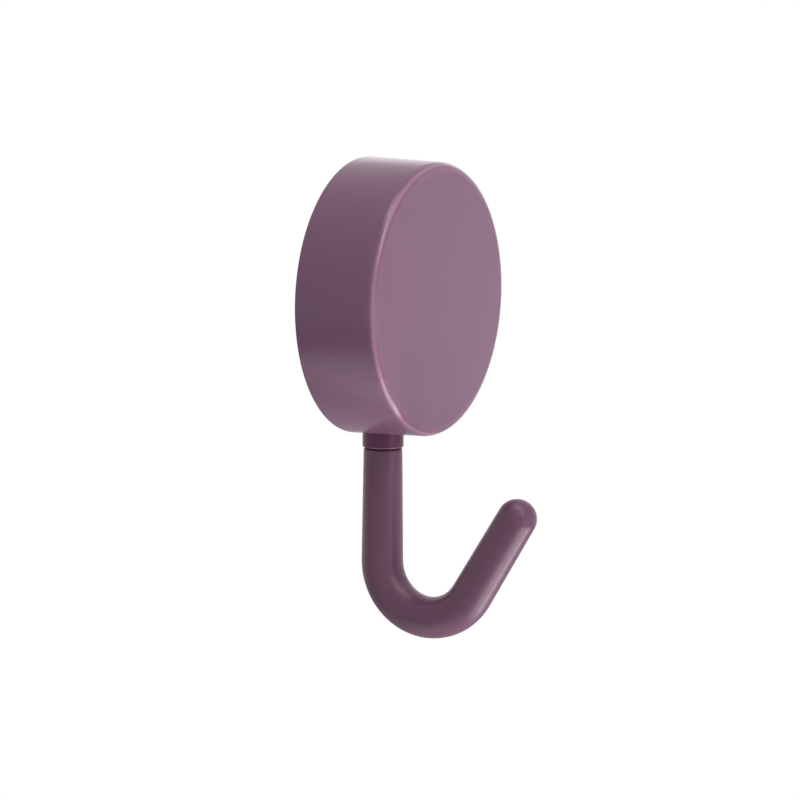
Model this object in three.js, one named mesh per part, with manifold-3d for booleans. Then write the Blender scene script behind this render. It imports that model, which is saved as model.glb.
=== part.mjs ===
// Adhesive wall hook: a round head that sticks to a wall and carries a J hook that swivels.
// Millimetres, +Z up. The wall is the plane y = 0, the room is towards -Y, and the origin is
// the centre of the adhesive pad's wall face. "Out" is a distance from the wall into the room.

import * as THREE from 'three';
import { mergeVertices } from 'three/addons/utils/BufferGeometryUtils.js';
import Module from 'manifold-3d';

// Head. Its wall widens by the draft, on the radius, from the face to the wall side.
const headDiameter = 38;
const headDepth = 12.4;
const headDraft = 0.27;
const frontEdgeRadius = 1.4;
const backEdgeRadius = 0.2;
const coverWall = 1.6;
const coverFace = 1.6;
const coverFillet = 1;

// Ribs inside the cover, whose ends seat the plate
const ribPositions = 9;
const ribReach = 1.2;
const ribThickness = 1;
const ribRoot = 0.6;

// Screw posts inside the cover
const postRadius = 2.2;
const postFinReach = 1.6;
const postFinThickness = 0.9;
const postFinHeightShare = 0.65;
const postFins = 4;

// Adhesive pad, a little smaller than the head
const padMargin = 2.5;
const padThickness = 1;

// Base plate
const plateThickness = 2;
const plateFit = 0.3;
const plateRibWidth = 1.2;
const plateRibHeight = 1.2;
const hubRadius = 3.6;
const socketWall = 1;
const socketFit = 0.25;

// Bearing block on the plate
const blockHeight = 5.8;
const blockWall = 1.8;
const wingReach = 3.8;
const wingRise = 3.2;
const wingThickness = 1.2;
const wingInset = 0.8;
const pocketFit = 0.3;
const pocketHeadroom = 0.5;

// Bush: the collar that shows under the head and the sleeve inside the block
const collarDiameter = 5.74;
const collarDrop = 2.2;
const collarEdge = 0.25;
const collarInset = 1;
const slotFit = 0.2;
const sleeveWall = 0.5;
const sleeveFit = 0.1;
const sleeveSetDown = 0.2;

// Hook
const shankSetback = 3.4;
const shankDiameter = 5.42;
const shoulderGap = 0.12;
const shoulderEdge = 0.25;
const shankLength = 15.68;
const bendRadius = 7.65;
const bendRodDiameter = 5.82;
const armLean = THREE.MathUtils.degToRad(31.9);
const armLength = 13.3;
const tipDiameter = 5.56;

// Neck of the hook, its washer and its clip
const neckDiameter = 2.5;
const neckPlay = 0.1;
const neckEnd = 1.2;
const neckChamfer = 0.3;
const washerDiameter = 4.6;
const washerThickness = 0.5;
const runningGap = 0.05;
const grooveDiameter = 1.9;
const clipDiameter = 4.5;
const clipThickness = 0.5;
const clipPlay = 0.05;
const clipReliefShare = 0.62;
const clipMouth = THREE.MathUtils.degToRad(100);
const prongSpan = THREE.MathUtils.degToRad(30);

// Cover screws
const screwCount = 3;
const screwInset = 4.6;
const screwLength = 6;
const screwDiameter = 1.7;
const screwHeadDiameter = 3.8;
const screwHeadHeight = 1.05;
const screwHeadLand = 0.15;
const screwSink = 0.12;
const screwPoint = 0.8;
const screwPointShare = 0.3;
const screwFit = 0.1;
const pilotSpare = 0.8;
const recessReach = 1;
const recessWidth = 0.45;
const recessDepth = 0.8;

// How far a cutter runs past what it cuts
const overrun = 1;

// Facets round the head, the rod and the small round forms, and along the curved edges
const headSides = 96;
const rodSides = 36;
const boreSides = 28;
const postSides = 24;
const frontEdgeSteps = 6;
const smallEdgeSteps = 3;
const bendSteps = 24;
const tipSteps = 8;
const clipSteps = 10;

// Places that follow from the sizes above
const headRadius = headDiameter / 2;
const headBackRadius = headRadius + headDraft;
const headBack = padThickness;
const headFront = headBack + headDepth;
const coverInside = headFront - coverFace;
const coverInnerRadius = headRadius - coverWall;
const plateRadius = coverInnerRadius - plateFit;
const plateFront = headBack + plateThickness;
const shankOut = headBack + shankSetback;

const collarRadius = collarDiameter / 2;
const collarBottom = -headRadius - collarDrop;
const neckRadius = neckDiameter / 2;
const bushBore = neckRadius + neckPlay;
const sleeveRadius = bushBore + sleeveWall;
const blockBore = sleeveRadius + sleeveFit;
const blockRadius = blockBore + blockWall;
const blockBottom = -coverInnerRadius + collarInset;
const blockTop = blockBottom + blockHeight;

const washerBottom = blockTop + runningGap;
const washerTop = washerBottom + washerThickness;
const clipBottom = washerTop + runningGap;
const clipTop = clipBottom + clipThickness;
const neckTop = clipTop + neckEnd;
const pocketFloor = shankOut - washerDiameter / 2 - pocketFit;
const pocketTop = neckTop + pocketHeadroom;

const shoulder = collarBottom - shoulderGap;
const bendStart = shoulder - shankLength;

const screwCircle = plateRadius - screwInset;
const screwRadius = screwDiameter / 2;
const screwHeadRadius = screwHeadDiameter / 2;
const screwHead = headBack + screwSink;
const screwTip = screwHead + screwLength;
const screwHole = screwRadius + screwFit;

const downward = -Math.PI / 2;
const fullTurn = 2 * Math.PI;

const wasm = await Module();
wasm.setup();

// A closed geometry as a solid that can be joined and cut
function solid(geometry) {
  const bare = geometry.clone();
  bare.deleteAttribute('normal');
  bare.deleteAttribute('uv');
  const merged = mergeVertices(bare);
  const vertProperties = new Float32Array(merged.attributes.position.array);
  const triVerts = new Uint32Array(merged.index.array);
  return new wasm.Manifold(new wasm.Mesh({ numProp: 3, vertProperties, triVerts }));
}

// A solid back as a geometry that three.js draws
function drawn(shape) {
  const { vertProperties, triVerts } = shape.getMesh();
  const geometry = new THREE.BufferGeometry();
  geometry.setAttribute('position', new THREE.BufferAttribute(vertProperties, 3));
  geometry.setIndex(new THREE.BufferAttribute(triVerts, 1));
  geometry.computeVertexNormals();
  return geometry;
}

function joined(geometries) {
  return geometries.map(solid).reduce((sum, next) => sum.add(next));
}

// Points of an arc in an outline, both ends included
function arc(x, y, radius, from, to, steps) {
  const points = [];
  for (let i = 0; i <= steps; i += 1) {
    const angle = from + ((to - from) * i) / steps;
    points.push([x + radius * Math.cos(angle), y + radius * Math.sin(angle)]);
  }
  return points;
}

function revolved(outline, sides) {
  const points = outline.map(([radius, height]) => new THREE.Vector2(Math.max(radius, 0), height));
  return new THREE.LatheGeometry(points, sides);
}

// An outline of [radius, out] turned about the head's centre line
function turnedOut(outline, sides) {
  return revolved(outline, sides).rotateX(Math.PI);
}

// An outline of [radius, height] turned about the upright Z axis
function turnedUp(outline, sides) {
  return revolved(outline, sides).rotateX(Math.PI / 2);
}

// A shape with depth. Each of its arcs gets `facets` flats.
function extruded(shape, depth, facets) {
  return new THREE.ExtrudeGeometry(shape, { depth, bevelEnabled: false, curveSegments: facets / 2 });
}

// A shape in x and z, raised from the wall side to the room side
function raisedOut(shape, start, end, facets = boreSides) {
  return extruded(shape, end - start, facets).rotateX(Math.PI / 2).translate(0, -start, 0);
}

// A shape in x and y, raised upward
function raisedUp(shape, bottom, top, facets = boreSides) {
  return extruded(shape, top - bottom, facets).translate(0, 0, bottom);
}

function circle(x, y, radius) {
  return new THREE.Shape().absarc(x, y, radius, 0, fullTurn, false);
}

function polygon(points) {
  return new THREE.Shape(points.map(([x, y]) => new THREE.Vector2(x, y)));
}

// A fin in a plane through the head's centre line: [distance from that line, out] points
function radialFin(points, thickness, angle) {
  const fin = extruded(polygon(points), thickness).translate(0, 0, -thickness / 2);
  return fin.rotateX(Math.PI).rotateY(-angle);
}

// Centres of the cover screws in x and z, the first one straight above the centre
function screwPlaces() {
  const places = [];
  for (let i = 0; i < screwCount; i += 1) {
    const angle = -downward + (fullTurn * i) / screwCount;
    places.push([screwCircle * Math.cos(angle), screwCircle * Math.sin(angle)]);
  }
  return places;
}

// The passage for the collar through the cover's wall and the plate's rim, open to the wall
function collarSlot() {
  const halfWidth = collarRadius + slotFit;
  const slot = new THREE.Shape();
  slot.moveTo(-halfWidth, overrun);
  slot.lineTo(-halfWidth, -shankOut);
  slot.absarc(0, -shankOut, halfWidth, Math.PI, fullTurn, false);
  slot.lineTo(halfWidth, overrun);
  slot.closePath();
  return raisedUp(slot, -headBackRadius - overrun, blockBottom);
}

function coverShell() {
  return turnedOut([
    [0, coverInside],
    ...arc(coverInnerRadius - coverFillet, coverInside - coverFillet, coverFillet,
      Math.PI / 2, 0, smallEdgeSteps),
    [coverInnerRadius, headBack],
    ...arc(headBackRadius - backEdgeRadius, headBack + backEdgeRadius, backEdgeRadius,
      downward, 0, smallEdgeSteps),
    ...arc(headRadius - frontEdgeRadius, headFront - frontEdgeRadius, frontEdgeRadius,
      0, Math.PI / 2, frontEdgeSteps),
    [0, headFront],
  ], headSides);
}

// Ribs down the inside of the cover's wall, at every position but the collar's
function coverRibs() {
  const ribs = [];
  for (let i = 1; i < ribPositions; i += 1) {
    const outline = [
      [coverInnerRadius - ribReach, plateFront],
      [coverInnerRadius + ribRoot, plateFront],
      [coverInnerRadius + ribRoot, coverInside + ribRoot],
      [coverInnerRadius - ribReach, coverInside + ribRoot],
    ];
    ribs.push(radialFin(outline, ribThickness, downward + (fullTurn * i) / ribPositions));
  }
  return ribs;
}

// A screw post stands on the cover's face and is held upright by tapering fins
function coverPost([x, z]) {
  const postHeight = coverInside - plateFront;
  const finTop = coverInside - postHeight * postFinHeightShare;
  const finOutline = [
    [0, coverInside + ribRoot],
    [0, finTop],
    [postRadius, finTop],
    [postRadius + postFinReach, coverInside],
    [postRadius + postFinReach, coverInside + ribRoot],
  ];
  const pieces = [raisedOut(circle(0, 0, postRadius), plateFront, coverInside + ribRoot, postSides)];
  for (let i = 0; i < postFins; i += 1) {
    pieces.push(radialFin(finOutline, postFinThickness, Math.atan2(z, x) + (fullTurn * i) / postFins));
  }
  return pieces.map((piece) => piece.translate(x, 0, z));
}

function pilotHole([x, z]) {
  return raisedOut(circle(x, z, screwHole), plateFront - overrun, screwTip + pilotSpare, postSides);
}

function frontCover() {
  const posts = screwPlaces().flatMap(coverPost);
  const moulding = joined([coverShell(), ...coverRibs(), ...posts]);
  const openings = joined([collarSlot(), ...screwPlaces().map(pilotHole)]);
  return drawn(moulding.subtract(openings));
}

function adhesivePad() {
  return raisedOut(circle(0, 0, headRadius - padMargin), 0, padThickness, headSides);
}

// The bearing block has a flat root on the plate and a front that is round about the bore
function bearingBlock() {
  const section = new THREE.Shape();
  section.moveTo(-blockRadius, -headBack - plateThickness / 2);
  section.lineTo(-blockRadius, -shankOut);
  section.absarc(0, -shankOut, blockRadius, Math.PI, fullTurn, false);
  section.lineTo(blockRadius, -headBack - plateThickness / 2);
  section.closePath();
  return raisedUp(section, blockBottom, blockTop);
}

// Two pairs of wings brace the block sideways on the plate
function blockWings() {
  const wing = polygon([
    [-blockRadius - wingReach, -headBack - plateThickness / 2],
    [blockRadius + wingReach, -headBack - plateThickness / 2],
    [blockRadius + wingReach, -plateFront],
    [blockRadius, -plateFront - wingRise],
    [-blockRadius, -plateFront - wingRise],
    [-blockRadius - wingReach, -plateFront],
  ]);
  const lower = blockBottom + wingInset;
  const upper = blockTop - wingInset - wingThickness;
  return [lower, upper].map((bottom) => raisedUp(wing, bottom, bottom + wingThickness));
}

// A ring round each screw hole takes the end of the cover's post
const socketInner = postRadius + socketFit;
const socketOuter = socketInner + socketWall;

function ringOut(x, z, outer, inner) {
  const ring = circle(x, z, outer);
  ring.holes.push(circle(x, z, inner));
  return raisedOut(ring, plateFront - plateThickness / 2, plateFront + plateRibHeight);
}

// Straight ribs tie the hub in the middle of the plate to the screw sockets
function plateSpokes() {
  return screwPlaces().map(([x, z]) => {
    const spoke = polygon([
      [hubRadius - socketWall / 2, -plateRibWidth / 2],
      [screwCircle - socketInner - socketWall / 2, -plateRibWidth / 2],
      [screwCircle - socketInner - socketWall / 2, plateRibWidth / 2],
      [hubRadius - socketWall / 2, plateRibWidth / 2],
    ]);
    const bar = raisedOut(spoke, plateFront - plateThickness / 2, plateFront + plateRibHeight);
    return bar.rotateY(-Math.atan2(z, x));
  });
}

// Clearance hole and countersink for a cover screw
function screwSeat([x, z]) {
  const mouth = screwHeadRadius + screwFit;
  const cone = screwHead + screwHeadLand;
  return turnedOut([
    [0, headBack - overrun],
    [mouth, headBack - overrun],
    [mouth, cone],
    [screwHole, cone + screwHeadHeight],
    [screwHole, plateFront + overrun],
    [0, plateFront + overrun],
  ], boreSides).translate(x, 0, z);
}

// The pocket behind the neck gives the washer and the clip room to turn
function neckPocket() {
  const halfWidth = washerDiameter / 2 + pocketFit;
  const pocket = polygon([
    [-halfWidth, blockTop],
    [halfWidth, blockTop],
    [halfWidth, pocketTop],
    [-halfWidth, pocketTop],
  ]);
  return raisedOut(pocket, pocketFloor, plateFront + plateRibHeight + overrun);
}

function blockBoreCut() {
  return raisedUp(circle(0, -shankOut, blockBore), blockBottom - overrun, blockTop + overrun);
}

function basePlate() {
  const disc = raisedOut(circle(0, 0, plateRadius), headBack, plateFront, headSides);
  const trim = raisedOut(circle(0, 0, plateRadius), headBack, headFront, headSides);
  const sockets = screwPlaces().map(([x, z]) => ringOut(x, z, socketOuter, socketInner));
  const hub = ringOut(0, 0, hubRadius, hubRadius - socketWall);
  const body = joined([disc, bearingBlock(), ...blockWings(), ...sockets, hub, ...plateSpokes()]);
  const cuts = joined([blockBoreCut(), neckPocket(), collarSlot(), ...screwPlaces().map(screwSeat)]);
  return drawn(body.intersect(solid(trim)).subtract(cuts));
}

// Collar and sleeve in one turned piece, about the swivel axis
function swivelBush() {
  return turnedUp([
    [bushBore, collarBottom],
    ...arc(collarRadius - collarEdge, collarBottom + collarEdge, collarEdge, downward, 0, smallEdgeSteps),
    [collarRadius, blockBottom],
    [sleeveRadius, blockBottom],
    [sleeveRadius, blockTop - sleeveSetDown],
    [bushBore, blockTop - sleeveSetDown],
    [bushBore, collarBottom],
  ], rodSides);
}

// The hook is a round rod. Each station has a place on the centre line, as a distance out
// from the swivel axis and a height, the angle turned from straight down, and a radius.
function hookStations() {
  const stations = [];
  const add = (out, z, turn, radius) => stations.push({ out, z, turn, radius });
  const grooveBottom = clipBottom - clipPlay;
  const grooveTop = clipTop + clipPlay;

  add(0, neckTop, 0, 0);
  add(0, neckTop, 0, neckRadius - neckChamfer);
  add(0, neckTop - neckChamfer, 0, neckRadius);
  add(0, grooveTop, 0, neckRadius);
  add(0, grooveTop, 0, grooveDiameter / 2);
  add(0, grooveBottom, 0, grooveDiameter / 2);
  add(0, grooveBottom, 0, neckRadius);
  add(0, shoulder, 0, neckRadius);

  const shankRadius = shankDiameter / 2;
  const edge = arc(shankRadius - shoulderEdge, shoulder - shoulderEdge, shoulderEdge,
    Math.PI / 2, 0, smallEdgeSteps);
  edge.forEach(([radius, z]) => add(0, z, 0, radius));

  const bendAngle = Math.PI - armLean;
  for (let i = 0; i <= bendSteps; i += 1) {
    const turn = (bendAngle * i) / bendSteps;
    const out = bendRadius * (1 - Math.cos(turn));
    add(out, bendStart - bendRadius * Math.sin(turn), turn, bendRodDiameter / 2);
  }

  const end = stations[stations.length - 1];
  const tipRadius = tipDiameter / 2;
  for (let i = 0; i <= tipSteps; i += 1) {
    const round = (Math.PI / 2) * (i / tipSteps);
    const along = armLength + tipRadius * Math.sin(round);
    const out = end.out + along * Math.sin(bendAngle);
    add(out, end.z - along * Math.cos(bendAngle), bendAngle, tipRadius * Math.cos(round));
  }
  return stations;
}

// Rings of points round the centre line, one for each station, joined by faces. The first and
// the last ring have no radius, so they close the ends.
function hook() {
  const positions = [];
  hookStations().forEach(({ out, z, turn, radius }) => {
    for (let i = 0; i < rodSides; i += 1) {
      const angle = (fullTurn * i) / rodSides;
      const side = radius * Math.cos(angle);
      const lift = radius * Math.sin(angle);
      positions.push(side, -out - lift * Math.cos(turn), z + lift * Math.sin(turn));
    }
  });
  const index = [];
  const lastRing = positions.length / 3 - rodSides;
  for (let ring = 0; ring < lastRing; ring += rodSides) {
    for (let i = 0; i < rodSides; i += 1) {
      const here = ring + i;
      const beside = ring + ((i + 1) % rodSides);
      index.push(here, beside, here + rodSides);
      index.push(beside, beside + rodSides, here + rodSides);
    }
  }
  const geometry = new THREE.BufferGeometry();
  geometry.setAttribute('position', new THREE.Float32BufferAttribute(positions, 3));
  geometry.setIndex(index);
  geometry.computeVertexNormals();
  return geometry;
}

function thrustWasher() {
  return turnedUp([
    [bushBore, washerBottom],
    [washerDiameter / 2, washerBottom],
    [washerDiameter / 2, washerTop],
    [bushBore, washerTop],
    [bushBore, washerBottom],
  ], rodSides);
}

// An E-clip: an open ring with three prongs that reach into the neck's groove
function retainingClip() {
  const rim = clipDiameter / 2;
  const relief = rim * clipReliefShare;
  const grip = grooveDiameter / 2 + clipPlay;
  const start = clipMouth / 2;
  const end = fullTurn - start;
  const outline = new THREE.Shape();
  outline.absarc(0, 0, rim, start, end, false);
  outline.absarc(0, 0, grip, end, end - prongSpan, true);
  outline.absarc(0, 0, relief, end - prongSpan, Math.PI + prongSpan / 2, true);
  outline.absarc(0, 0, grip, Math.PI + prongSpan / 2, Math.PI - prongSpan / 2, true);
  outline.absarc(0, 0, relief, Math.PI - prongSpan / 2, start + prongSpan, true);
  outline.absarc(0, 0, grip, start + prongSpan, start, true);
  outline.closePath();
  return raisedUp(outline, clipBottom, clipTop, clipSteps).rotateZ(Math.PI / 2);
}

function crossRecess() {
  const arm = recessWidth / 2;
  const quarter = [[arm, arm], [arm, recessReach], [-arm, recessReach]];
  const points = [];
  for (let i = 0; i < 4; i += 1) {
    const angle = (fullTurn * i) / 4;
    quarter.forEach(([x, y]) => points.push([
      x * Math.cos(angle) - y * Math.sin(angle),
      x * Math.sin(angle) + y * Math.cos(angle),
    ]));
  }
  return raisedOut(polygon(points), screwHead - overrun, screwHead + recessDepth);
}

function coverScrew() {
  const cone = screwHead + screwHeadLand;
  const blank = turnedOut([
    [0, screwHead],
    [screwHeadRadius, screwHead],
    [screwHeadRadius, cone],
    [screwRadius, cone + screwHeadHeight],
    [screwRadius, screwTip - screwPoint],
    [screwRadius * screwPointShare, screwTip],
    [0, screwTip],
  ], boreSides);
  return drawn(solid(blank).subtract(solid(crossRecess())));
}

const mauve = new THREE.MeshStandardMaterial({ color: 0x8e6782, roughness: 0.5 });
const plum = new THREE.MeshStandardMaterial({ color: 0x7c506a, roughness: 0.38 });
const plateGrey = new THREE.MeshStandardMaterial({ color: 0x705464, roughness: 0.6 });
const foam = new THREE.MeshStandardMaterial({ color: 0xe6e2da, roughness: 0.85 });
const acetal = new THREE.MeshStandardMaterial({ color: 0xece9e0, roughness: 0.5 });
const springSteel = new THREE.MeshStandardMaterial({ color: 0x8c8a86, roughness: 0.35, metalness: 1 });
const zincPlate = new THREE.MeshStandardMaterial({ color: 0xb9bcc0, roughness: 0.3, metalness: 1 });

function piece(name, geometry, material) {
  const mesh = new THREE.Mesh(geometry, material);
  mesh.name = name;
  return mesh;
}

const head = new THREE.Group();
head.add(piece('front_cover', frontCover(), mauve));
head.add(piece('base_plate', basePlate(), plateGrey));
head.add(piece('adhesive_pad', adhesivePad(), foam));
const screwNames = ['cover_screw_top', 'cover_screw_left', 'cover_screw_right'];
screwPlaces().forEach(([x, z], i) => {
  const screw = piece(screwNames[i], coverScrew(), zincPlate);
  screw.position.set(x, 0, z);
  head.add(screw);
});

const swivel = new THREE.Group();
swivel.position.set(0, -shankOut, 0);
swivel.add(piece('swivel_bush', swivelBush(), plum));
swivel.add(piece('hook', hook(), plum));
swivel.add(piece('thrust_washer', thrustWasher(), acetal));
swivel.add(piece('retaining_clip', retainingClip(), springSteel));

const wallHook = new THREE.Group();
wallHook.add(head, swivel);

export default wallHook;
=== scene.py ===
import math

import bmesh
import bpy
from mathutils import Matrix, Vector, noise


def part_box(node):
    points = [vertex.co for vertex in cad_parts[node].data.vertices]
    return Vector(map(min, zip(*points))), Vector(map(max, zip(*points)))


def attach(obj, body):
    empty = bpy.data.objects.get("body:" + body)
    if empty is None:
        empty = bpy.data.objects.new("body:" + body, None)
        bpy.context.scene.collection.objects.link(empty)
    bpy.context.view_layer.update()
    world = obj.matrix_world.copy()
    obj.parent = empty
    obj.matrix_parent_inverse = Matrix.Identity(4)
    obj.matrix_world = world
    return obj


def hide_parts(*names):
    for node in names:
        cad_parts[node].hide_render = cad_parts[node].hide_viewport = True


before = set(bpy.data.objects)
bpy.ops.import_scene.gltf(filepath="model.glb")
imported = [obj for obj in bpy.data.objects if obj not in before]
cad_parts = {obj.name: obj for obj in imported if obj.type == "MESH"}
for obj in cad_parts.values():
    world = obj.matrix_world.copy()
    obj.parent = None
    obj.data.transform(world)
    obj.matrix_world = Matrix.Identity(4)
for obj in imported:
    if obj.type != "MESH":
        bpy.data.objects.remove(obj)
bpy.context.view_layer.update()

mm = 0.001
fullTurn = 2 * math.pi
onAxis = 1e-6                      # mm, what is nearer to an axis counts as on it
white = (1, 1, 1, 1)


# The lowest and highest corner of a CAD node, in millimetres
def cadCorners(node):
    low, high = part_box(node)
    return low / mm, high / mm


coverLow, coverHigh = cadCorners("front_cover")
bushLow, bushHigh = cadCorners("swivel_bush")
hookLow, hookHigh = cadCorners("hook")
padLow, padHigh = cadCorners("adhesive_pad")
headRadius = (coverHigh.x - coverLow.x) / 2    # at the wall side, where it is widest
headBack = -coverHigh.y            # distances out from the wall
headFront = -coverLow.y
swivelOut = -(bushLow.y + bushHigh.y) / 2
collarRadius = (bushHigh.x - bushLow.x) / 2
collarBottom = bushLow.z
print("frame loaded, head", round(headRadius * 2, 2), "mm across")


def addObject(name, data):
    holder = bpy.data.objects.new(name, data)
    bpy.context.scene.collection.objects.link(holder)
    return holder


# The way from the object to a camera or a lamp. Zero is straight in front, and level.
def direction(azimuth, elevation):
    return Vector((math.sin(azimuth) * math.cos(elevation),
                   -math.cos(azimuth) * math.cos(elevation), math.sin(elevation)))


# Camera: the photograph's place, fitted to the outlines of the head and the hook
camera = {
    "azimuth": -61.359,
    "elevation": 7.28,
    "roll": 0.375,
    "distance": 900,
    "pixelsPerMm": 7.178,      # at that distance
    "picture": 800,            # pixels across
    "right": 5.307,            # mm from the middle of the head's back
    "up": -14.679,
    "sensorWidth": 36,
    "clipStart": 50, "clipEnd": 20000,
}


def addCamera(c):
    azimuth, elevation, roll = (math.radians(c[k]) for k in ("azimuth", "elevation", "roll"))
    back = direction(azimuth, elevation)
    right = Vector((math.cos(azimuth), math.sin(azimuth), 0))
    up = back.cross(right)
    target = Vector((0, -headBack, 0)) + right * c["right"] + up * c["up"]
    turnedRight = right * math.cos(roll) + up * math.sin(roll)
    turnedUp = up * math.cos(roll) - right * math.sin(roll)
    data = bpy.data.cameras.new("camera")
    data.sensor_width = c["sensorWidth"]
    data.lens = c["pixelsPerMm"] * c["distance"] / c["picture"] * data.sensor_width
    data.clip_start, data.clip_end = c["clipStart"] * mm, c["clipEnd"] * mm
    holder = addObject("camera", data)
    turn = Matrix((turnedRight, turnedUp, back)).transposed().to_4x4()
    holder.matrix_world = Matrix.Translation((target + back * c["distance"]) * mm) @ turn
    bpy.context.scene.camera = holder


addCamera(camera)


# Node maths: a wire is a socket that can be used in sums
class Wire:
    def __init__(self, sheet, socket):
        self.sheet = sheet
        self.socket = socket

    def __add__(self, other):
        return self.sheet.maths("ADD", self, other)

    def __radd__(self, other):
        return self.sheet.maths("ADD", other, self)

    def __sub__(self, other):
        return self.sheet.maths("SUBTRACT", self, other)

    def __rsub__(self, other):
        return self.sheet.maths("SUBTRACT", other, self)

    def __mul__(self, other):
        return self.sheet.maths("MULTIPLY", self, other)

    def __rmul__(self, other):
        return self.sheet.maths("MULTIPLY", other, self)


# A sheet of nodes, with the material, world or node group that it belongs to
class Sheet:
    def __init__(self, owner, tree):
        self.owner = owner
        self.tree = tree
        tree.nodes.clear()

    # Any node: its type, its settings, its sockets' values or wires, and the outlet that is used
    def node(self, kind, settings=None, sockets=None, outlet=None):
        made = self.tree.nodes.new(kind)
        for name, value in (settings or {}).items():
            setattr(made, name, value)
        for name, value in (sockets or {}).items():
            inlet = self.pick(made.inputs, name)
            if isinstance(value, Wire):
                self.tree.links.new(value.socket, inlet)
            else:
                inlet.default_value = value
        if not made.outputs:
            return made
        return Wire(self, self.pick(made.outputs, outlet) if outlet else made.outputs[0])

    # A socket by its identifier, or else by its name
    def pick(self, choices, name):
        for socket in choices:
            if socket.identifier == name:
                return socket
        return choices[name]

    def maths(self, operation, *values):
        return self.node("ShaderNodeMath", {"operation": operation},
                         dict(zip(("Value", "Value_001"), values)))

    def mixed(self, first, second, share):
        return self.node("ShaderNodeMix", {"data_type": "RGBA"},
                         {"Factor_Float": share, "A_Color": first, "B_Color": second},
                         "Result_Color")

    # A colour between a darker and a lighter version of itself
    def varied(self, colour, amounts, share):
        low, high = (scaled(colour, amount) for amount in amounts)
        return self.mixed(low, high, share)

    # Places on a piece, in the piece's own metres
    def place(self):
        return self.node("ShaderNodeTexCoord", outlet="Object")

    def axis(self, vector, name):
        return self.node("ShaderNodeSeparateXYZ", None, {"Vector": vector}, name)

    def split(self, vector):
        return [self.axis(vector, name) for name in "XYZ"]

    def point(self, x, y, z=0):
        return self.node("ShaderNodeCombineXYZ", None, {"X": x, "Y": y, "Z": z})

    def length(self, vector):
        return self.node("ShaderNodeVectorMath", {"operation": "LENGTH"}, {"Vector": vector},
                         "Value")

    # One level up to a start, another from an end on, and a smooth change between them
    def fade(self, value, start, end, before, after):
        return self.node("ShaderNodeMapRange", {"interpolation_type": "SMOOTHSTEP"},
                         {"Value": value, "From Min": start, "From Max": end,
                          "To Min": before, "To Max": after}, "Result")

    def grain(self, place, size, detail, roughness):
        return self.node("ShaderNodeTexNoise", {"noise_dimensions": "3D"},
                         {"Vector": place, "Scale": 1 / (size * mm), "Detail": detail,
                          "Roughness": roughness}, "Fac")

    def bump(self, height, strength, depth):
        return self.node("ShaderNodeBump", None,
                         {"Height": height, "Strength": strength, "Distance": depth * mm})

    def either(self, share, first, second):
        return self.node("ShaderNodeMixShader", None,
                         {"Fac": share, "Shader": first, "Shader_001": second})

    def surface(self, sockets):
        return self.finish(self.node("ShaderNodeBsdfPrincipled", None, sockets))

    def finish(self, shader):
        kind = "World" if isinstance(self.owner, bpy.types.World) else "Material"
        self.node("ShaderNodeOutput" + kind, None, {"Surface": shader})
        return self.owner


def newFinish(name):
    material = bpy.data.materials.new(name)
    material.use_nodes = True
    return Sheet(material, material.node_tree)


def scaled(colour, amount):
    return tuple(part * amount for part in colour) + (1,)


# A share of the second pattern and the rest of the first
def blend(first, second, share):
    return (1 - share) * first + share * second


# A value that a pattern from 0 to 1 swings about its middle
def around(middle, pattern, swing):
    return middle + swing * (pattern - 0.5)


# Meshes are made in millimetres and brought to metres at the end. A shape's own three
# directions become x, y and z by one of these.
def aboutHead(x, z, out):
    return (x, -out, z)


def aboutSwivel(x, y, z):
    return (x, y - swivelOut, z)


def upright(x, out, z):
    return (x, -out, z)


# An outline from its corners (across, along), some with a rounding and its steps
def rounded(corners):
    points = []
    for i, (across, along, *rounding) in enumerate(corners):
        here = Vector((across, along))
        if not rounding:
            points.append(here)
            continue
        radius, steps = rounding
        before = Vector(corners[i - 1][:2]) - here
        after = Vector(corners[(i + 1) % len(corners)][:2]) - here
        half = before.angle(after) / 2
        before.normalize()
        after.normalize()
        middle = here + (before + after).normalized() * (radius / math.sin(half))
        start, end = (here + way * (radius / math.tan(half)) - middle for way in (before, after))
        for step in range(steps + 1):
            points.append(middle + start.slerp(end, step / steps).normalized() * radius)
    return points


# A ring of vertices, or one vertex for all its sides where it has no width
def ringOf(shape, sides, radius, along, spot):
    if radius < onAxis:
        return [shape.verts.new(spot(0, 0, along))] * sides
    angles = [fullTurn * i / sides for i in range(sides)]
    return [shape.verts.new(spot(radius * math.cos(angle), radius * math.sin(angle), along))
            for angle in angles]


# Faces from each ring to the next
def skinned(shape, rings):
    for ring, after in zip(rings, rings[1:]):
        for i in range(len(ring)):
            k = (i + 1) % len(ring)
            corners = list(dict.fromkeys([ring[i], ring[k], after[k], after[i]]))
            if len(corners) > 2:
                shape.faces.new(corners)
    bmesh.ops.recalc_face_normals(shape, faces=shape.faces)
    return shape


# A closed outline turned about an axis
def turned(outline, sides, spot):
    shape = bmesh.new()
    rings = [ringOf(shape, sides, across, along, spot) for across, along in outline]
    return skinned(shape, rings + rings[:1])


# A flat outline with depth between two places along one direction
def prism(outline, start, end, spot):
    shape = bmesh.new()
    near, far = ([shape.verts.new(spot(a, b, depth)) for a, b in outline]
                 for depth in (start, end))
    shape.faces.new(near)
    shape.faces.new(far)
    for i in range(len(outline)):
        k = (i + 1) % len(outline)
        shape.faces.new([near[i], near[k], far[k], far[i]])
    bmesh.ops.recalc_face_normals(shape, faces=shape.faces)
    return shape


def arcPoints(x, y, radius, start, end, steps):
    return [(x + radius * math.cos(start + (end - start) * i / steps),
             y + radius * math.sin(start + (end - start) * i / steps)) for i in range(steps + 1)]


def circle(x, y, radius, sides):
    return arcPoints(x, y, radius, 0, fullTurn, sides)[:-1]


def asMesh(shape, name="shape"):
    mesh = bpy.data.meshes.new(name)
    shape.to_mesh(mesh)
    shape.free()
    return mesh


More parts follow.
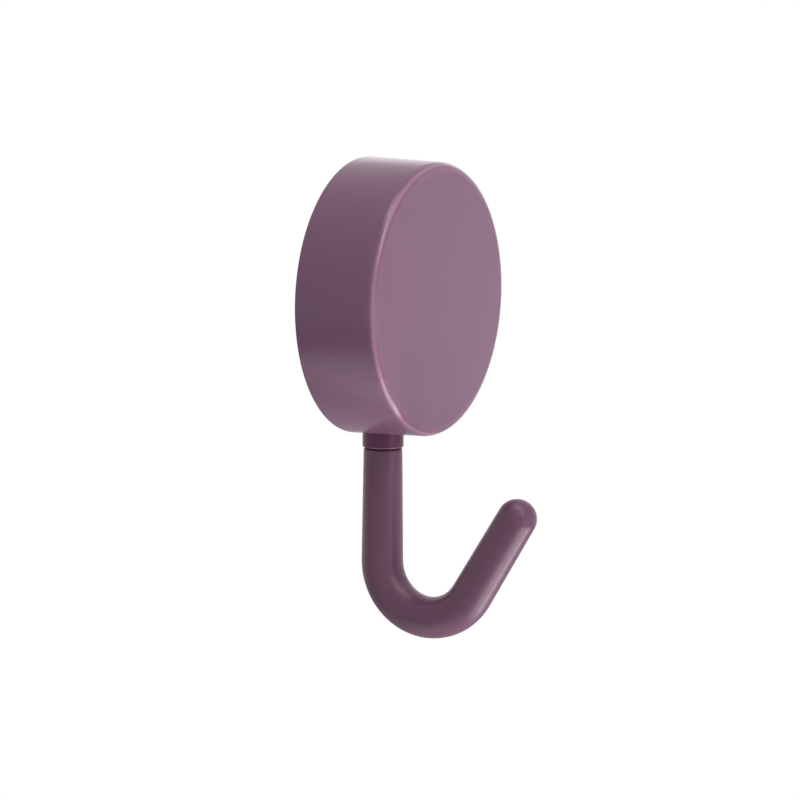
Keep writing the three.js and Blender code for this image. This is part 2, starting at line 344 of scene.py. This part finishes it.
def together(shapes):
    whole = bmesh.new()
    for shape in shapes:
        mesh = asMesh(shape)
        whole.from_mesh(mesh)
        bpy.data.meshes.remove(mesh)
    return whole


# One shape joined with or cut by another
def carved(shape, tool, operation):
    host, cutter = (addObject("part", asMesh(part)) for part in (shape, tool))
    step = host.modifiers.new("carve", "BOOLEAN")
    step.operation = operation
    step.solver = "EXACT"
    step.use_self = True
    step.object = cutter
    bpy.context.view_layer.update()
    ready = host.evaluated_get(bpy.context.evaluated_depsgraph_get())
    mesh = bpy.data.meshes.new_from_object(ready)
    result = bmesh.new()
    result.from_mesh(mesh)
    for holder in (host, cutter):
        used = holder.data
        bpy.data.objects.remove(holder)
        bpy.data.meshes.remove(used)
    bpy.data.meshes.remove(mesh)
    return result


def addPiece(name, shape, finish, body, node, sharpAngle=32):
    shape.transform(Matrix.Scale(mm, 4))
    mesh = asMesh(shape, name)
    mesh.shade_smooth()
    mesh.set_sharp_from_angle(angle=math.radians(sharpAngle))
    mesh.materials.append(finish)
    piece = addObject(name, mesh)
    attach(piece, body)
    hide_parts(node)
    return piece


# Room: white for the eye and for gloss, a plain level of light, a pale floor far below
room = {
    "ambient": 0.1,
    "floorDrop": 300,
    "floorSize": 2600,
    "floorColour": (0.85, 0.845, 0.84, 1),
    # How much of the floor's own shade is seen near its middle, and the distances between
    # which that fades to white: by the eye, and in the object's gloss
    "eyeShade": (0.4, 250, 700),
    "glossShade": (0.85, 600, 1250),
}


def seenBy(sheet):
    return [sheet.node("ShaderNodeLightPath", outlet=outlet)
            for outlet in ("Is Camera Ray", "Is Glossy Ray", "Is Transmission Ray")]


def whiteness(sheet, shade, starts, ends):
    away = sheet.length(sheet.place())
    return sheet.fade(away, starts * mm, ends * mm, 1 - shade, 1)


def addWorld(r):
    world = bpy.data.worlds.new("room")
    world.use_nodes = True
    bpy.context.scene.world = world
    sheet = Sheet(world, world.node_tree)
    eye, gloss, glass = seenBy(sheet)
    low, bright = (sheet.node("ShaderNodeBackground", None, {"Color": white, "Strength": level})
                   for level in (r["ambient"], 1))
    sheet.finish(sheet.either(eye + gloss + glass, low, bright))


# The floor is clear from below, so that it never hides the object
def floorFinish(r):
    sheet = newFinish("pale_floor")
    eye, gloss, glass = seenBy(sheet)
    seen = (eye + glass) * whiteness(sheet, *r["eyeShade"])
    mirrored = gloss * whiteness(sheet, *r["glossShade"])
    matt = sheet.node("ShaderNodeBsdfDiffuse", None, {"Color": r["floorColour"]})
    glow = sheet.node("ShaderNodeEmission", None, {"Color": white, "Strength": 1})
    top = sheet.either(seen + mirrored, matt, glow)
    below = sheet.node("ShaderNodeNewGeometry", outlet="Backfacing")
    clear = sheet.node("ShaderNodeBsdfTransparent")
    return sheet.finish(sheet.either(below, top, clear))


def addFloor(r):
    half = r["floorSize"] / 2
    shape = bmesh.new()
    shape.faces.new([shape.verts.new((x, y, 0)) for x, y in
                     ((-half, -half), (half, -half), (half, half), (-half, half))])
    shape.transform(Matrix.Scale(mm, 4))
    floor = addObject("floor", asMesh(shape, "floor"))
    floor.location = (0, -swivelOut * mm, -r["floorDrop"] * mm)
    floor.data.materials.append(floorFinish(r))


addWorld(room)
addFloor(room)

# Softboxes: azimuth and elevation as for the camera, distance and sizes in mm, power in watts.
# Those in front stand one above another and make one tall strip of light on the glossy edges.
lamps = {
    "front_high": (12, 58, 900, 253, 366, 0.3),
    "front_level": (-6, -8, 900, 253, 366, 0.63),
    "front_table": (-6, -52, 300, 84, 122, 0.17),
    "right_table": (30, -50, 300, 84, 122, 0.313),
    "left_top": (-60, 80, 900, 450, 450, 2.05),
    "left_high": (-24, 58, 900, 253, 366, 0.97),
    "left_middle": (-24, 36, 900, 253, 366, 1.42),
    "left_table": (-24, -52, 300, 84, 122, 0.0656),
    "far_left_table": (-120, -58, 270, 190, 210, 0.13),
    "back": (110, 10, 900, 450, 450, 0.4),
}
lampAim = Vector((0, -6, -14))     # between the head and the hook


def addLamp(name, azimuth, elevation, distance, width, height, power):
    back = direction(math.radians(azimuth), math.radians(elevation))
    data = bpy.data.lights.new(name, "AREA")
    data.shape = "RECTANGLE"
    data.size, data.size_y = width * mm, height * mm
    data.energy = power
    holder = addObject(name, data)
    holder.rotation_euler = back.to_track_quat("Z", "Y").to_euler()
    holder.location = (lampAim + back * distance) * mm
    holder.visible_camera = False


for name, values in lamps.items():
    addLamp(name, *values)
print("camera, room and lamps set")


# In the pieces' values a grain is its size in mm, its detail and its roughness, a bump is its
# strength and its depth in mm, and a colour range is how much darker and lighter it gets.

# Head shell: a moulded cap with posts and ribs inside, in satin mauve
headShell = {
    "sides": 288,
    "draft": 0.27,             # how much wider the wall side is than the face, on the radius
    "wall": 1.6,
    "face": 1.6,
    "frontEdge": 1.4, "frontSteps": 14,
    "backEdge": 0.2, "backSteps": 5,
    "innerEdge": 1, "innerSteps": 6,
    "mouthEdge": 0.12, "mouthSteps": 3,
    "ribPositions": 9, "ribReach": 1.2, "ribThickness": 1,
    "root": 0.6,               # how far ribs, posts and fins go into the wall and the face
    "plateFront": 3,
    "postRadius": 2.2, "postSides": 48,
    "pilotRadius": 0.95, "pilotSides": 40, "pilotEnd": 7.92,
    "finsPerPost": 4, "finReach": 1.6, "finThickness": 0.9, "finHeightShare": 0.65,
    "slotGap": 0.2, "slotEnd": -16.4, "slotSteps": 48,
    "cutOver": 1,              # how far the cuts start outside the shell
    "colour": (0.2706, 0.125, 0.2177),
    "colourRange": (0.98, 1.02),
    "drift": (9, 3, 0.5),
    "fineGrain": (0.09, 2, 0.6),   # the soft-touch coat
    "speck": (0.45, 2, 0.6),
    "fineShare": 0.4, "speckShare": 0.3,
    "bump": (0.5, 0.004),
    "roughness": 0.25, "roughnessSwing": 0.04,
    "ior": 1.42,
    # Painted highlight: a lighter colour along the front edge's rounding stands in for the line of
    # light that the edge catches and reflects. Each band has its colour, its place on the rounding
    # in degrees from the face, and its width on either side.
    "paintedHighlights": (((0.355, 0.17, 0.283), 20, 0.6), ((0.5, 0.243, 0.392), 50, 0.55)),
    "edgePolish": 0.04,        # how much less rough the last band is
}
screwCircle = 12.5
screwAngles = {"top": 90, "left": 210, "right": 330}


def screwSpot(which):
    angle = math.radians(screwAngles[which])
    return screwCircle * math.cos(angle), screwCircle * math.sin(angle)


# A fin in a plane through the head's centre line, moved to (x, z)
def radialFin(points, thickness, angle, x=0, z=0):
    def spot(across, out, side):
        return (x + across * math.cos(angle) - side * math.sin(angle), -out,
                z + across * math.sin(angle) + side * math.cos(angle))
    return prism(points, -thickness / 2, thickness / 2, spot)


# Ribs round the wall but none at the collar, and posts with their fins
def insideForms(h):
    inside = headFront - h["face"]
    rooted = inside + h["root"]
    inner = headRadius - h["draft"] - h["wall"]
    near, far = inner - h["ribReach"], inner + h["root"]
    rib = [(near, h["plateFront"]), (far, h["plateFront"]), (far, rooted), (near, rooted)]
    forms = [radialFin(rib, h["ribThickness"], -math.pi / 2 + fullTurn * i / h["ribPositions"])
             for i in range(1, h["ribPositions"])]
    finTop = inside - (inside - h["plateFront"]) * h["finHeightShare"]
    reach = h["postRadius"] + h["finReach"]
    fin = [(0, rooted), (0, finTop), (h["postRadius"], finTop), (reach, inside), (reach, rooted)]
    for which in screwAngles:
        x, z = screwSpot(which)
        ring = circle(x, z, h["postRadius"], h["postSides"])
        forms.append(prism(ring, h["plateFront"], rooted, aboutHead))
        for i in range(h["finsPerPost"]):
            angle = math.radians(screwAngles[which]) + fullTurn * i / h["finsPerPost"]
            forms.append(radialFin(fin, h["finThickness"], angle, x, z))
    return together(forms)


# The slot lets the collar in from the wall side
def slotTool(h):
    half, back = collarRadius + h["slotGap"], -h["cutOver"]
    outline = [(-half, back), *arcPoints(0, swivelOut, half, math.pi, 0, h["slotSteps"]),
               (half, back)]
    return prism(outline, -headRadius - h["cutOver"], h["slotEnd"], upright)


def pilotTool(h, which):
    ring = circle(*screwSpot(which), h["pilotRadius"], h["pilotSides"])
    return prism(ring, h["plateFront"] - h["cutOver"], h["pilotEnd"], aboutHead)


# One along a ring on the front edge's rounding, and zero away from it: where the painted highlight
# goes
def highlightRing(sheet, place, h, turn, width):
    x, y, z = sheet.split(place)
    turn = math.radians(turn)
    ringRadius = headRadius - h["draft"] - h["frontEdge"] * (1 - math.sin(turn))
    ringOut = headFront - h["frontEdge"] * (1 - math.cos(turn))
    away = sheet.length(sheet.point(x, z))
    gap = sheet.length(sheet.point(away - ringRadius * mm, y + ringOut * mm))
    return sheet.fade(gap, 0, width * mm, 1, 0)


def headFinish(h):
    sheet = newFinish("satin_mauve")
    place = sheet.place()
    drift = sheet.grain(place, *h["drift"])
    fine = sheet.grain(place, *h["fineGrain"])
    speck = sheet.grain(place, *h["speck"])
    body = sheet.varied(h["colour"], h["colourRange"], blend(drift, fine, h["fineShare"]))
    # Painted highlight: lighter bands on the front edge's rounding, for the light line that the
    # edge catches
    for colour, turn, width in h["paintedHighlights"]:
        highlight = highlightRing(sheet, place, h, turn, width)
        body = sheet.mixed(body, scaled(colour, 1), highlight)
    coat = around(h["roughness"], speck, h["roughnessSwing"])
    return sheet.surface({
        "Base Color": body,
        "Roughness": coat - highlight * h["edgePolish"],
        "Normal": sheet.bump(blend(fine, speck, h["speckShare"]), *h["bump"]),
        "IOR": h["ior"],
    })


def addHeadShell(h):
    inside = headFront - h["face"]
    faceRadius = headRadius - h["draft"]
    inner = faceRadius - h["wall"]
    shell = turned(rounded([
        (0, inside),
        (inner, inside, h["innerEdge"], h["innerSteps"]),
        (inner, headBack, h["mouthEdge"], h["mouthSteps"]),
        (headRadius, headBack, h["backEdge"], h["backSteps"]),
        (faceRadius, headFront, h["frontEdge"], h["frontSteps"]),
        (0, headFront),
    ]), h["sides"], aboutHead)
    moulding = carved(shell, insideForms(h), "UNION")
    cuts = together([slotTool(h)] + [pilotTool(h, which) for which in screwAngles])
    moulding = carved(moulding, cuts, "DIFFERENCE")
    addPiece("head_shell", moulding, headFinish(h), "housing", "front_cover")


addHeadShell(headShell)
print("head shell made")


# Foam pad: die-cut foam tape whose cut edge swells a little between its two films
foamPad = {
    "sides": 288,
    "edgeSwell": 0.12, "edgeSteps": 8,
    "middleRing": 0.5,         # share of the radius
    "waver": 0.05,             # mm that the cut edge wanders
    "waverFrom": 0.9,          # share of the radius
    "waverPerMm": 0.6,
    "waverInward": 0.6,        # keeps the cut inside the CAD pad's edge
    "sharpAngle": 50,
    "colour": (0.79, 0.76, 0.70),
    "colourRange": (0.9, 1.04),
    "filmColour": (0.70, 0.665, 0.59),
    "filmRange": (0.97, 1.03),
    "filmThickness": 0.07,
    "filmFade": 1.6,           # in film thicknesses from the face
    "cellSize": 0.16,
    "cloud": (2.4, 4, 0.6),
    "cellShare": 0.7, "cloudShare": 0.5, "cloudHeight": 0.25,
    "bump": (0.6, 0.03),
    "roughness": 0.9, "filmPolish": 0.5,
    "ior": 1.45,
}


def padFinish(p):
    sheet = newFinish("foam_tape")
    place = sheet.place()
    cells = sheet.node("ShaderNodeTexVoronoi", {"feature": "F1"},
                       {"Vector": place, "Scale": 1 / (p["cellSize"] * mm)}, "Distance")
    cloud = sheet.grain(place, *p["cloud"])
    half = (padHigh.y - padLow.y) / 2
    out = sheet.axis(place, "Y") * (-1 / mm)
    fromMiddle = sheet.maths("ABSOLUTE", out - half)
    film = sheet.fade(fromMiddle, half - p["filmThickness"] * p["filmFade"],
                      half - p["filmThickness"], 0, 1)
    foam = sheet.varied(p["colour"], p["colourRange"],
                        cells * p["cellShare"] + cloud * p["cloudShare"])
    skin = sheet.varied(p["filmColour"], p["filmRange"], cloud)
    height = cells * (1 - film) + cloud * p["cloudHeight"]
    return sheet.surface({
        "Base Color": sheet.mixed(foam, skin, film),
        "Roughness": p["roughness"] - film * p["filmPolish"],
        "Normal": sheet.bump(height, *p["bump"]),
        "IOR": p["ior"],
    })


def addFoamPad(p):
    radius, steps = padHigh.x, p["edgeSteps"]
    back, front = -padHigh.y, -padLow.y
    edge = [(radius - p["edgeSwell"] * (2 * step / steps - 1) ** 2,
             back + (front - back) * step / steps) for step in range(steps + 1)]
    middle = radius * p["middleRing"]
    rows = [(0, back), (middle, back), *edge, (middle, front), (0, front)]
    shape = turned(rows, p["sides"], aboutHead)
    for vertex in shape.verts:
        away = math.hypot(vertex.co.x, vertex.co.z)
        if away > radius * p["waverFrom"]:
            wander = noise.noise(vertex.co * p["waverPerMm"]) - p["waverInward"]
            push = wander * p["waver"] / away
            vertex.co.x *= 1 + push
            vertex.co.z *= 1 + push
    pad = addPiece("foam_pad", shape, padFinish(p), "housing", "adhesive_pad",
                   p["sharpAngle"])


addFoamPad(foamPad)
print("foam pad made")


# Collar bush: the short dark collar and the sleeve above it
collarBush = {
    "sides": 128,
    "bore": 1.35,
    "sleeveRadius": 1.85,
    "sleeveTop": -10.8,
    "step": -16.4,
    "lipEdge": 0.25, "lipSteps": 6,
    "endEdge": 0.1, "stepEdge": 0.08, "smallSteps": 3,
    "colour": (0.128, 0.027, 0.094),
    "colourRange": (0.94, 1.06),
    "rimHighlightColour": (0.21, 0.11, 0.165),   # painted highlight: the lower rim lighter, for light it catches from below
    "highlightHeight": 0.3, "highlightFade": 0.4,   # full up to this share of its height
    "fineGrain": (0.07, 2, 0.6),
    "drift": (2.5, 2, 0.5),
    "bump": (0.45, 0.004),
    "roughness": 0.36, "roughnessSwing": 0.08,
    "ior": 1.4,
}


def collarFinish(c):
    sheet = newFinish("collar_plum")
    place = sheet.place()
    fine = sheet.grain(place, *c["fineGrain"])
    drift = sheet.grain(place, *c["drift"])
    # Painted highlight: a lighter band along the collar's lower rim
    rimHighlight = sheet.fade(sheet.axis(place, "Z"), (collarBottom + c["highlightHeight"] * c["highlightFade"]) * mm,
                     (collarBottom + c["highlightHeight"]) * mm, 1, 0)
    body = sheet.varied(c["colour"], c["colourRange"], drift)
    return sheet.surface({
        "Base Color": sheet.mixed(body, scaled(c["rimHighlightColour"], 1), rimHighlight),
        "Roughness": around(c["roughness"], drift, c["roughnessSwing"]),
        "Normal": sheet.bump(fine, *c["bump"]),
        "IOR": c["ior"],
    })


def addCollarBush(c):
    end = (c["endEdge"], c["smallSteps"])
    shape = turned(rounded([
        (c["bore"], collarBottom, *end),
        (collarRadius, collarBottom, c["lipEdge"], c["lipSteps"]),
        (collarRadius, c["step"], c["stepEdge"], c["smallSteps"]),
        (c["sleeveRadius"], c["step"]),
        (c["sleeveRadius"], c["sleeveTop"], *end),
        (c["bore"], c["sleeveTop"], *end),
    ]), c["sides"], aboutSwivel)
    addPiece("collar_bush", shape, collarFinish(c), "housing", "swivel_bush")


addCollarBush(collarBush)
print("collar bush made")


# Hook: painted round rod with a turned neck, a J bend and a round tip
hookRod = {
    "sides": 96,
    "shoulderDrop": 0.12,      # from the collar's lower face
    "shoulderEdge": 0.25, "shoulderSteps": 8,
    "shankDiameter": 5.42, "shankSteps": 24,
    "bendDiameter": 5.82,
    "bendRadius": 7.65, "bendSteps": 96,
    "armLean": 31.9,
    "armLength": 13.3, "armSteps": 20,
    "tipDiameter": 5.56, "tipSteps": 20,
    "neckRadius": 1.25, "neckChamfer": 0.3,
    "grooveRadius": 0.95, "grooveBottom": -10.05, "grooveTop": -9.45,
    "colour": (0.19, 0.0795, 0.143),
    "colourRange": (0.95, 1.05),
    "ripple": (0.8, 2, 0.45),  # the paint's slight orange peel
    "fineGrain": (0.1, 2, 0.5),
    "drift": (6, 2, 0.5),
    "fineShare": 0.3,          # in the colour, and then in the height
    "fineHeight": 0.05,
    "bump": (0.5, 0.003),
    "roughness": 0.36, "roughnessSwing": 0.06,
    "ior": 1.42,
}


# Rows of (out, height, angle turned from straight down, radius) along the hook's centre line
def hookRows(k):
    top, neck, groove = hookHigh.z, k["neckRadius"], k["grooveRadius"]
    shoulder = collarBottom - k["shoulderDrop"]
    turnings = [(top, 0), (top, neck - k["neckChamfer"]), (top - k["neckChamfer"], neck),
                (k["grooveTop"], neck), (k["grooveTop"], groove),
                (k["grooveBottom"], groove), (k["grooveBottom"], neck), (shoulder, neck)]
    rows = [(0, z, 0, radius) for z, radius in turnings]
    shank, edge = k["shankDiameter"] / 2, k["shoulderEdge"]
    corner = arcPoints(shank - edge, shoulder - edge, edge, math.pi / 2, 0, k["shoulderSteps"])
    rows += [(0, z, 0, radius) for radius, z in corner]
    bend, rod, tip = k["bendRadius"], k["bendDiameter"] / 2, k["tipDiameter"] / 2
    shankTop, bendTop = shoulder - edge, hookLow.z + bend + rod
    for i in range(1, k["shankSteps"]):
        share = i / k["shankSteps"]
        rows.append((0, shankTop + (bendTop - shankTop) * share, 0, shank + (rod - shank) * share))
    whole = math.pi - math.radians(k["armLean"])
    for i in range(k["bendSteps"] + 1):
        turn = whole * i / k["bendSteps"]
        rows.append((bend * (1 - math.cos(turn)), bendTop - bend * math.sin(turn), turn, rod))
    out, z = rows[-1][:2]
    arm, steps = k["armLength"], k["armSteps"]
    along = [(arm * i / steps, rod + (tip - rod) * i / steps) for i in range(1, steps)]
    along += arcPoints(arm, 0, tip, math.pi / 2, 0, k["tipSteps"])
    rows += [(out + reach * math.sin(whole), z - reach * math.cos(whole), whole, radius)
             for reach, radius in along]
    return rows


# A place across the rod, where its centre line is at (out, height, angle)
def aboutRod(side, lift, centre):
    out, z, turn = centre
    return (side, -out - lift * math.cos(turn) - swivelOut, z + lift * math.sin(turn))


def rodShape(rows, sides):
    shape = bmesh.new()
    rings = [ringOf(shape, sides, radius, centre, aboutRod) for *centre, radius in rows]
    return skinned(shape, rings)


def hookFinish(k):
    sheet = newFinish("plum_paint")
    place = sheet.place()
    ripple = sheet.grain(place, *k["ripple"])
    fine = sheet.grain(place, *k["fineGrain"])
    drift = sheet.grain(place, *k["drift"])
    return sheet.surface({
        "Base Color": sheet.varied(k["colour"], k["colourRange"],
                                   blend(drift, fine, k["fineShare"])),
        "Roughness": around(k["roughness"], drift, k["roughnessSwing"]),
        "Normal": sheet.bump(blend(ripple, fine, k["fineHeight"]), *k["bump"]),
        "IOR": k["ior"],
    })


def addHook(k):
    addPiece("hook_rod", rodShape(hookRows(k), k["sides"]), hookFinish(k),
             "hook", "hook")


addHook(hookRod)
print("hook made")


# Cover screws: countersunk heads with a cross recess, and a coarse rolled thread
coverScrews = {
    "sides": 40,
    "head": 1.12, "tip": 7.12,
    "headRadius": 1.9, "headLand": 0.15, "headHeight": 1.05,
    "neckOver": 0.12,          # how much thicker it is under the head than the thread's root
    "crestRadius": 0.92, "rootRadius": 0.68,
    "pitch": 0.8, "rowsPerTurn": 12,
    "ridgeShare": 0.42, "ridgePower": 1.4,
    "threadStart": 2.75, "threadRunIn": 0.5,
    "pointLength": 0.9, "pointShare": 0.25,
    "recessReach": 1, "recessWidth": 0.45, "recessDepth": 0.8, "recessTaper": 0.7,
    "recessOver": 0.5,         # how far the recess's cut starts outside the head
    "colour": (0.56, 0.57, 0.58),
    "colourRange": (0.86, 1.06),
    "cloud": (0.7, 3, 0.6),
    "fineGrain": (0.06, 2, 0.6),
    "bump": (0.3, 0.003),
    "roughness": 0.28, "cloudSwing": 0.2, "fineSwing": 0.08,
}


# A ring of the threaded part, a little wider where the thread's ridge passes
def threadRing(shape, s, out):
    narrow = min(1, (s["tip"] - out) / s["pointLength"])
    fade = min(1, (out - s["threadStart"]) / s["threadRunIn"]) * narrow
    root = s["rootRadius"] * (s["pointShare"] + (1 - s["pointShare"]) * narrow)
    ring = []
    for i in range(s["sides"]):
        angle = fullTurn * i / s["sides"]
        phase = (out / s["pitch"] - i / s["sides"]) % 1
        ridge = max(0, 1 - abs(phase - 0.5) / s["ridgeShare"]) ** s["ridgePower"]
        across = root + (s["crestRadius"] - s["rootRadius"]) * ridge * fade
        spot = aboutHead(across * math.cos(angle), across * math.sin(angle), out)
        ring.append(shape.verts.new(spot))
    return ring


def recessTool(s):
    def tapered(across, up, out):
        share = s["recessTaper"] if out > s["head"] else 1
        return aboutHead(across * share, up * share, out)

    arm, reach = s["recessWidth"] / 2, s["recessReach"]
    outline = []
    for i in range(4):
        turn = fullTurn * i / 4
        outline += [(a * math.cos(turn) - b * math.sin(turn),
                     a * math.sin(turn) + b * math.cos(turn))
                    for a, b in ((arm, arm), (arm, reach), (-arm, reach))]
    return prism(outline, s["head"] - s["recessOver"], s["head"] + s["recessDepth"], tapered)


def screwShape(s):
    under = s["head"] + s["headLand"]
    plain = [(0, s["head"]), (s["headRadius"], s["head"]), (s["headRadius"], under),
             (s["rootRadius"] + s["neckOver"], under + s["headHeight"])]
    length = s["tip"] - s["threadStart"]
    steps = int(length / s["pitch"] * s["rowsPerTurn"])
    shape = bmesh.new()
    rings = [ringOf(shape, s["sides"], across, out, aboutHead) for across, out in plain]
    rings += [threadRing(shape, s, s["threadStart"] + length * i / steps)
              for i in range(steps + 1)]
    rings.append(ringOf(shape, s["sides"], 0, s["tip"], aboutHead))
    return carved(skinned(shape, rings), recessTool(s), "DIFFERENCE")


def screwFinish(s):
    sheet = newFinish("bright_zinc")
    place = sheet.place()
    cloud = sheet.grain(place, *s["cloud"])
    fine = sheet.grain(place, *s["fineGrain"])
    clouded = around(s["roughness"], cloud, s["cloudSwing"])
    return sheet.surface({
        "Base Color": sheet.varied(s["colour"], s["colourRange"], cloud),
        "Metallic": 1,
        "Roughness": around(clouded, fine, s["fineSwing"]),
        "Normal": sheet.bump(fine, *s["bump"]),
    })


# One screw is made on the head's centre line, and copies of it go to the three posts
def addScrews(s):
    finish, screw = screwFinish(s), screwShape(s)
    for which in screwAngles:
        x, z = screwSpot(which)
        shape = screw.copy()
        shape.transform(Matrix.Translation((x, 0, z)))
        addPiece("cover_screw_threaded_" + which, shape, finish,
                 "housing", "cover_screw_" + which)
    screw.free()


addScrews(coverScrews)
print("cover screws made")


# The plate, the washer and the clip keep their CAD shape, and get smooth shading and finishes
keptShading = {
    "weld": 0.002,             # mm
    "sharpAngle": 28,
}


def softShading(s):
    group = bpy.data.node_groups.new("weld_and_smooth", "GeometryNodeTree")
    for way in ("INPUT", "OUTPUT"):
        group.interface.new_socket("Geometry", in_out=way, socket_type="NodeSocketGeometry")
    sheet = Sheet(group, group)
    bare = sheet.node("GeometryNodeRemoveAttribute", None,
                      {"Geometry": sheet.node("NodeGroupInput"), "Name": "custom_normal"})
    weld = sheet.node("GeometryNodeMergeByDistance", None,
                      {"Geometry": bare, "Distance": s["weld"] * mm})
    smooth = sheet.node("GeometryNodeSetShadeSmooth", {"domain": "FACE"}, {"Geometry": weld})
    angle = sheet.node("GeometryNodeInputMeshEdgeAngle", outlet="Unsigned Angle")
    sharp = sheet.node("FunctionNodeCompare", {"data_type": "FLOAT", "operation": "GREATER_THAN"},
                       {"A": angle, "B": math.radians(s["sharpAngle"])})
    creased = sheet.node("GeometryNodeSetShadeSmooth", {"domain": "EDGE"},
                         {"Geometry": smooth, "Selection": sharp, "Shade Smooth": False})
    sheet.node("NodeGroupOutput", None, {"Geometry": creased})
    return group


smoothGroup = softShading(keptShading)


def dressNode(name, finish):
    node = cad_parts[name]
    node.modifiers.new("shading", "NODES").node_group = smoothGroup
    node.material_slots[0].material = finish


basePlate = {
    "colour": (0.159, 0.102, 0.141),
    "colourRange": (0.93, 1.07),
    "spark": (0.12, 3, 0.65),  # the spark-eroded mould's texture
    "drift": (5, 3, 0.5),
    "bump": (0.5, 0.012),
    "roughness": 0.62, "roughnessSwing": 0.12,
    "ior": 1.49,
}


def plateFinish(p):
    sheet = newFinish("plate_moulding")
    place = sheet.place()
    spark = sheet.grain(place, *p["spark"])
    drift = sheet.grain(place, *p["drift"])
    return sheet.surface({
        "Base Color": sheet.varied(p["colour"], p["colourRange"], drift),
        "Roughness": around(p["roughness"], spark, p["roughnessSwing"]),
        "Normal": sheet.bump(spark, *p["bump"]),
        "IOR": p["ior"],
    })


thrustWasher = {
    "colour": (0.84, 0.81, 0.74),
    "colourRange": (0.95, 1.02),
    "ringSize": 0.11,          # mm between the turning marks
    "cloud": (0.8, 2, 0.5),
    "bump": (0.3, 0.004),
    "roughness": 0.42, "markRoughness": 0.04,
    "ior": 1.48,
}


# Rings about the swivel axis, as a lathe leaves them
def turningMarks(sheet, place, size):
    flat = sheet.point(sheet.axis(place, "X"), sheet.axis(place, "Y") + swivelOut * mm)
    return sheet.maths("SINE", sheet.length(flat) * (fullTurn / (size * mm)))


def washerFinish(w):
    sheet = newFinish("acetal")
    place = sheet.place()
    marks = turningMarks(sheet, place, w["ringSize"])
    cloud = sheet.grain(place, *w["cloud"])
    return sheet.surface({
        "Base Color": sheet.varied(w["colour"], w["colourRange"], cloud),
        "Roughness": w["roughness"] + marks * w["markRoughness"],
        "Normal": sheet.bump(marks, *w["bump"]),
        "IOR": w["ior"],
    })


retainingClip = {
    "colour": (0.26, 0.25, 0.24),
    "colourRange": (0.82, 1.14),
    "streak": (0.09, 3, 0.6),
    "streakStretch": 0.12,     # how slowly it changes along the streaks
    "cloud": (1.1, 3, 0.5),
    "streakShare": 0.4,
    "bump": (0.3, 0.004),
    "roughness": 0.36, "roughnessSwing": 0.16,
}


def clipFinish(c):
    sheet = newFinish("spring_steel")
    place = sheet.place()
    x, y, z = sheet.split(place)
    streak = sheet.grain(sheet.point(x * c["streakStretch"], y, z), *c["streak"])
    cloud = sheet.grain(place, *c["cloud"])
    return sheet.surface({
        "Base Color": sheet.varied(c["colour"], c["colourRange"],
                                   blend(cloud, streak, c["streakShare"])),
        "Metallic": 1,
        "Roughness": around(c["roughness"], streak, c["roughnessSwing"]),
        "Normal": sheet.bump(streak, *c["bump"]),
    })


dressNode("base_plate", plateFinish(basePlate))
dressNode("thrust_washer", washerFinish(thrustWasher))
dressNode("retaining_clip", clipFinish(retainingClip))
print("plate, washer and clip finished")

bpy.context.scene.view_settings.view_transform = "Standard"
